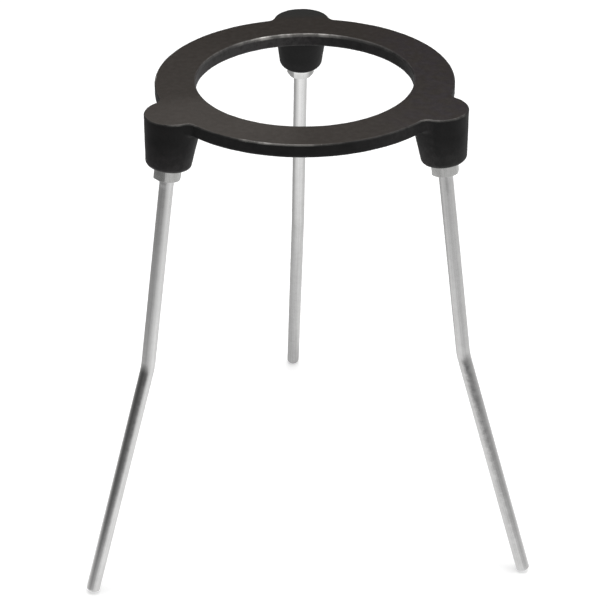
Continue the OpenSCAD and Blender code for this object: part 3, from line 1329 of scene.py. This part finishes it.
@dataclass
class LockNut:
    """Hexagon nut with bevelled corners, tight against the lower end of its boss."""

    stud: StudFrame
    across_flats: float = 10.6
    height: float = 5.2
    bevel_a: float = 30.0
    bevel_in: float = 0.2
    mouth: float = 0.4
    edge_round: float = 0.12

    # Points in a ring, and depths below the ends of the rings on bevels and sides
    columns: int = 144
    bevel_rings: tuple = (0.03, 0.6, 12)
    side_rings: tuple = (0.8, 5)

    # How much of an edge each ring is, where wear shows
    bore_worn: float = 0.3
    mouth_worn: float = 0.5
    face_worn: float = 0.6
    bevel_worn: float = 0.7
    corner_worn: Ease = Ease(0.9, 1.0, 0.0, 0.8)
    corner_from: float = 1.0
    crisp_a: float = 25.0

    sector = math.tau / HEX_SIDES

    def outer(self, angle: np.ndarray, height: float) -> np.ndarray:
        """Radius of the nut's outside: the hexagon, cut by the bevels' cones.

        Args:
            angle: Angles round the nut, in radians.
            height: Height above the nut's lower face.

        Returns:
            The radii.
        """
        flat_r = self.across_flats / 2.0
        soft = self.edge_round
        hexagon = flat_r / np.cos(angle % self.sector - self.sector / 2.0)
        corner = flat_r / math.cos(self.sector / 2.0) - soft
        hexagon = -np.logaddexp(-hexagon / soft, -corner / soft) * soft
        from_end = min(height, self.height - height)
        cone = flat_r - self.bevel_in + from_end / math.tan(math.radians(self.bevel_a))
        return np.minimum(hexagon, cone)

    def profile(self, angle: np.ndarray) -> list[tuple[np.ndarray, float, float]]:
        """The nut's section at each angle, from the bore's middle up, round and back.

        Args:
            angle: Angles round the nut, in radians.

        Returns:
            Rings of radii, each with its height and how much of an edge it is.
        """
        bore_r = self.stud.tapped_r
        mouth_r = bore_r + self.mouth
        bevel_r = self.across_flats / 2.0 - self.bevel_in - self.edge_round
        face = [
            (bore_r, self.mouth, self.bore_worn),
            (mouth_r, 0.0, self.mouth_worn),
            ((mouth_r + bevel_r) / 2.0, 0.0, 0.0),
            (bevel_r, 0.0, self.face_worn),
        ]
        bevel = np.linspace(*self.bevel_rings)
        margin, count = self.side_rings
        sides = np.linspace(margin, self.height - margin, count)
        down = self.height - np.concatenate([bevel, sides])
        flat = np.zeros_like(angle)
        rings = [(flat + bore_r, self.height / 2.0, 0.0)]
        rings += [(flat + radius, self.height - depth, worn) for radius, depth, worn in face]
        for height in [*down, *(self.height - down[: len(bevel)][::-1])]:
            worn = max(0.0, self.bevel_worn - min(height, self.height - height))
            rings.append((self.outer(angle, height), height, worn))
        rings += [(flat + radius, depth, worn) for radius, depth, worn in reversed(face)]
        return rings

    def build(self) -> Piece:
        """Makes the nut's mesh.

        Returns:
            The piece.
        """
        setting = self.stud.setting
        angles = circle_angles(self.columns)
        turned = angles + math.radians(setting.nut_turn)
        bearings = np.degrees(turned) + setting.place.direction
        off = np.abs(angles % self.sector - self.sector / 2.0) / (self.sector / 2.0)
        at_corner = self.corner_worn.of(off)
        rows = []
        for radii, height, sharp in self.profile(angles):
            depth = self.height - height
            ring = round_axis(radii, turned, height - (self.stud.boss_len + self.height))
            marks = sum(mark.strength(bearings, depth) for mark in setting.nut_painted_stripes)
            edge = np.maximum(at_corner * (radii > self.stud.tapped_r + self.corner_from), sharp)
            uv = unrolled(angles, self.across_flats / 2.0, height)
            rows.append((self.stud.to_stand(ring), uv, edge, np.clip(marks, -1.0, 1.0)))
        points, uv, edge, painted_tone = map(np.concatenate, zip(*rows))
        faces = ring_faces(len(rows), self.columns)
        last = (len(rows) - 1) * self.columns
        for column in range(self.columns):
            after = (column + 1) % self.columns
            faces.append([last + column, column, after, last + after])
        masks = {"edge": edge, "painted_tone": painted_tone}
        piece = new_piece(setting.place.word + "_lock_nut", points, faces, masks, uv)
        piece.data.set_sharp_from_angle(angle=math.radians(self.crisp_a))
        return piece


# ---------------------------------------------------------------- the whole stand


@dataclass
class TripodStand:
    """Builds every piece of the stand and gives each its finish."""

    settings: tuple[LegSetting, ...] = (
        LegSetting(
            LegPlace.BACK,
            out_lean=10.5,
            side_lean=1.1,
            bend_turn=2.0,
            screw_in=13.5,
            nut_turn=29.0,
            rod_painted_stripes=(PaintedStripe(280.0, 60.0, -0.8, 10.0, 105.0),),
            nut_painted_stripes=(
                PaintedStripe(269.0, 40.0, -7.0, -3.0, 2.7),
                PaintedStripe(269.0, 40.0, -0.5),
                PaintedStripe(329.0, 22.0, 0.35),
            ),
        ),
        LegSetting(
            LegPlace.LEFT,
            out_lean=9.3,
            side_lean=0.9,
            bend_turn=10.0,
            screw_in=11.5,
            nut_turn=52.0,
            rod_painted_stripes=(
                PaintedStripe(271.5, 18.0, 0.62, 103.5, 205.0),
                PaintedStripe(266.0, 15.0, 0.33, 10.0, 75.0),
                PaintedStripe(302.0, 32.0, -0.7, 10.0, 220.0),
            ),
            nut_painted_stripes=(PaintedStripe(232.0, 22.0, 0.25),),
        ),
        LegSetting(
            LegPlace.RIGHT,
            out_lean=7.6,
            side_lean=-0.4,
            bend_turn=3.0,
            screw_in=13.5,
            nut_turn=49.0,
            rod_painted_stripes=(
                PaintedStripe(265.0, 31.0, 0.57, 104.0, 210.0),
                PaintedStripe(268.0, 14.0, 0.3, 18.0, 34.0),
            ),
            nut_painted_stripes=(PaintedStripe(300.0, 25.0, -0.3), PaintedStripe(238.0, 22.0, 0.1)),
        ),
    )
    iron_finish: BlackIronFinish = BlackIronFinish()
    rod_finish: ZincFinish = ZincFinish("zinc_rod")
    nut_finish: ZincFinish = ZincFinish(
        "zinc_nut",
        colour=(0.718, 0.715, 0.708, 1),
        dull_colour=(0.57, 0.569, 0.555, 1),
        satin=Ease(0.1, 0.9, 0.18, 0.28),
        drawn_lines=Grain(900.0, 0.3),
        line_stretch=0.2,
        worn=0.8,
    )

    def build(self) -> list[tuple[Piece, str, FinishSlot]]:
        """Makes all pieces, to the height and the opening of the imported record.

        Returns:
            Each piece with the node it stands for and its slot.
        """
        mounts = {mount["name"]: mount for mount in frame["record"]["mounts"]}
        stand_h = mounts["ring_top"]["pos_m"][2] / MM
        opening_r = mounts["ring_opening"]["dims"]["r_mm"]
        studs = [StudFrame(setting, stand_h) for setting in self.settings]
        made = [(RingHead(studs, stand_h, opening_r).build(), "ring_head", FinishSlot.IRON)]
        for stud in studs:
            word = stud.setting.place.word
            made.append((Leg(stud).build(), word + "_leg", FinishSlot.ROD))
            made.append((LockNut(stud).build(), word + "_nut", FinishSlot.NUT))
        return made

    def dress(self, made: list[tuple[Piece, str, FinishSlot]]) -> None:
        """Gives each piece its slot's material and its body, hides the imported part of its node and
        logs the piece's size.

        Args:
            made: The pieces, nodes and slots.
        """
        kit = GroupKit.make()
        materials = {
            FinishSlot.IRON: self.iron_finish.material(kit),
            FinishSlot.ROD: self.rod_finish.material(kit),
            FinishSlot.NUT: self.nut_finish.material(kit),
        }
        for piece, node, slot in made:
            piece.data.materials.append(materials[slot])
            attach(piece, BODY)
            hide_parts(node)
            self.report(piece, node)

    @staticmethod
    def report(piece: Piece, node: str) -> None:
        """Logs a piece's size beside its node's.

        Args:
            piece: The piece.
            node: The node that it stands for.
        """
        corners = np.array([tuple(corner) for corner in piece.bound_box])
        low, high = (np.array(corner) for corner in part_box(node))
        gaps = np.concatenate([corners.min(0) - low, high - corners.max(0)]) / MM
        log.info(
            "%s for %s: %d faces, %.2f mm outside and %.2f mm inside the node's box",
            piece.name, node, len(piece.data.polygons), -gaps.min(), gaps.max(),
        )


# ---------------------------------------------------------------- the studio


@dataclass(frozen=True)
class StudioCamera:
    """A camera on a tripod in front of the stand, looking down at it."""

    azimuth: float = -1.15
    elevation: float = 31.01
    roll: float = -0.5
    distance: float = 900.0
    aim_height: float = 107.7
    lens: float = 120.86
    shift_x: float = -0.00529
    nearest: float = 0.05
    farthest: float = 20.0

    def build(self) -> None:
        """Makes the scene's camera."""
        around, above = math.radians(self.azimuth), math.radians(self.elevation)
        level = Vector((math.cos(around), math.sin(around), 0.0))
        forward = Vector((math.sin(around), -math.cos(around), 0.0))
        back = forward * math.cos(above) + Vector((0.0, 0.0, math.sin(above)))
        upward = back.cross(level)
        tilt = math.radians(self.roll)
        right = level * math.cos(tilt) + upward * math.sin(tilt)
        up = upward * math.cos(tilt) - level * math.sin(tilt)
        data = bpy.data.cameras.new("camera")
        data.lens = self.lens
        data.shift_x = self.shift_x
        data.clip_start = self.nearest
        data.clip_end = self.farthest
        camera = bpy.data.objects.new("camera", data)
        place = (Vector((0.0, 0.0, self.aim_height)) + back * self.distance) * MM
        turned = Matrix((right, up, back)).transposed().to_4x4()
        camera.matrix_world = Matrix.Translation(place) @ turned
        bpy.context.scene.collection.objects.link(camera)
        bpy.context.scene.camera = camera


@dataclass(frozen=True)
class SoftBox:
    """A square studio light that faces the stand."""

    name: str
    place: tuple
    size: float
    power: float

    def build(self, aim: Vector) -> None:
        """Makes the light.

        Args:
            aim: The point that it faces, in metres.
        """
        data = bpy.data.lights.new(self.name, "AREA")
        data.shape = "SQUARE"
        data.size = self.size
        data.energy = self.power
        light = bpy.data.objects.new(self.name, data)
        light.location = self.place
        light.rotation_mode = "QUATERNION"
        light.rotation_quaternion = (Vector(self.place) - aim).to_track_quat("Z", "Y")
        bpy.context.scene.collection.objects.link(light)


@dataclass(frozen=True)
class Studio:
    """A pale bench, soft lamps and a white background; its lengths are metres."""

    lamps: tuple[SoftBox, ...] = (
        SoftBox("overhead_lamp", (0.1, 0.15, 1.5), 1.4, 19.0),
        SoftBox("right_lamp", (1.3, -0.5, 0.9), 0.7, 4.0),
        SoftBox("left_lamp", (-1.4, 0.2, 1.2), 0.6, 2.0),
    )
    aim: tuple = (0.0, 0.0, 0.12)
    bench_size: float = 6.0
    bench_colour: tuple = (0.8, 0.8, 0.8, 1)
    black: tuple = (0.0, 0.0, 0.0, 1)
    white: tuple = (1, 1, 1, 1)
    bench_lift: float = 0.42

    # How the bench looks in reflections
    pool_centre: tuple = (-0.068, -0.068, 0.0)
    pool: Ease = Ease(-0.15, 0.4, 1.06, 0.58)
    steepness: Ease = Ease(0.655, 1.0, 1.0, 0.0)
    sheen_power: float = 1.5
    sheen_gain: float = 0.656
    sheen_least: float = 0.344
    behind: Ease = Ease(0.04, 0.09, 1.0, 0.9)
    dark_side: tuple = (0.008, 0.128, 0.0)
    side_gain: float = 0.154
    mirrored_least: float = 0.09
    mirrored: float = 1.07

    # How the room looks in reflections, and how much it lights what is matt
    room_height: Ease = Ease(0.2, 0.9, end=0.4)
    room_low: float = 0.15
    room_side: float = 0.1
    front_lamp: tuple = (0.0, -0.77, 0.64)
    front_glow: Ease = Ease(0.86, 0.96, 0.0, 0.8)
    fill: float = 0.22

    def build(self) -> None:
        """Makes the lamps, the bench and the background."""
        for lamp in self.lamps:
            lamp.build(Vector(self.aim))
        self.make_bench()
        self.make_world()
        bpy.context.scene.view_settings.view_transform = "Standard"

    def make_bench(self) -> None:
        """Makes the bench top: white where the camera looks, darker far away in reflections."""
        half = self.bench_size / 2.0
        corners = [(-half, -half, 0.0), (half, -half, 0.0), (half, half, 0.0), (-half, half, 0.0)]
        mesh = bpy.data.meshes.new("bench_top")
        mesh.from_pydata(corners, [], [(0, 1, 2, 3)])
        bench = bpy.data.objects.new("bench_top", mesh)
        bpy.context.scene.collection.objects.link(bench)
        material, nodes, principled = new_material("bench_white")
        nodes.tree.nodes.remove(principled)
        path = nodes.add("LightPath").outputs
        glossy = path["Is Glossy Ray"]
        seen = nodes.maths("MAXIMUM", path["Is Camera Ray"], path["Is Transmission Ray"])
        diffuse = nodes.add("BsdfDiffuse", {"Color": self.bench_colour}).outputs[0]
        black = nodes.add("BsdfDiffuse", {"Color": self.black}).outputs[0]
        lit = nodes.add("MixShader", {0: glossy, 1: diffuse, 2: black}).outputs[0]
        mirrored = nodes.times(glossy, self.bench_mirrored(nodes))
        strength = nodes.times_plus(seen, self.bench_lift, mirrored)
        glow = nodes.add("Emission", {"Color": self.white, "Strength": strength}).outputs[0]
        both = nodes.add("AddShader", {0: lit, 1: glow}).outputs[0]
        nodes.feed(nodes.tree.nodes["Material Output"].inputs["Surface"], both)
        mesh.materials.append(material)

    def bench_mirrored(self, nodes: Nodes) -> Socket:
        """How bright the bench is in reflections: most where the lamps pool, and from above.

        Args:
            nodes: The bench material's nodes.

        Returns:
            The brightness.
        """
        place = nodes.add("NewGeometry").outputs["Position"]
        pool = nodes.ease(nodes.vector("DISTANCE", place, self.pool_centre), self.pool)
        flat = nodes.add("LayerWeight").outputs["Facing"]
        from_above = nodes.ease(flat, self.steepness, kind="LINEAR")
        risen = nodes.maths("POWER", from_above, self.sheen_power)
        sheen = nodes.times_plus(risen, self.sheen_gain, self.sheen_least)
        behind = nodes.ease(nodes.part(place, "Y"), self.behind)
        offset = nodes.vector("SUBTRACT", place, self.dark_side)
        rightward = nodes.part(nodes.vector("NORMALIZE", offset), "X")
        lamps = nodes.times(nodes.times(pool, sheen), behind)
        total = nodes.times_plus(rightward, self.side_gain, lamps)
        return nodes.times(nodes.maths("MAXIMUM", total, self.mirrored_least), self.mirrored)

    def make_world(self) -> None:
        """Makes the background: white to the camera, a dim room in reflections."""
        world = bpy.data.worlds.new("studio_room")
        bpy.context.scene.world = world
        world.use_nodes = True
        nodes = Nodes(world.node_tree)
        shader = nodes.tree.nodes["Background"]
        path = nodes.add("LightPath").outputs
        glossy = path["Is Glossy Ray"]
        seen = nodes.maths("MAXIMUM", path["Is Camera Ray"], path["Is Transmission Ray"])
        heading = nodes.add("TexCoord").outputs["Generated"]
        low = nodes.times_plus(nodes.part(heading, "X"), self.room_side, self.room_low)
        room = nodes.ease(nodes.part(heading, "Z"), self.room_height, start=low)
        toward = nodes.vector("DOT_PRODUCT", heading, self.front_lamp)
        room = nodes.maths("ADD", room, nodes.ease(toward, self.front_glow))
        matt = nodes.maths("SUBTRACT", 1.0, glossy)
        filled = nodes.times_plus(matt, self.fill, nodes.times(glossy, room))
        rest = nodes.times(nodes.maths("SUBTRACT", 1.0, seen), filled)
        nodes.feed(shader.inputs["Strength"], nodes.maths("ADD", seen, rest))
        nodes.feed(shader.inputs["Color"], self.white)


def main() -> None:
    """Builds the camera, the stand and the studio."""
    logging.basicConfig(level=logging.INFO, format="%(name)s: %(message)s")
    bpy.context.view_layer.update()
    StudioCamera().build()
    stand = TripodStand()
    stand.dress(stand.build())
    Studio().build()


if __name__ == "__main__":
    main()
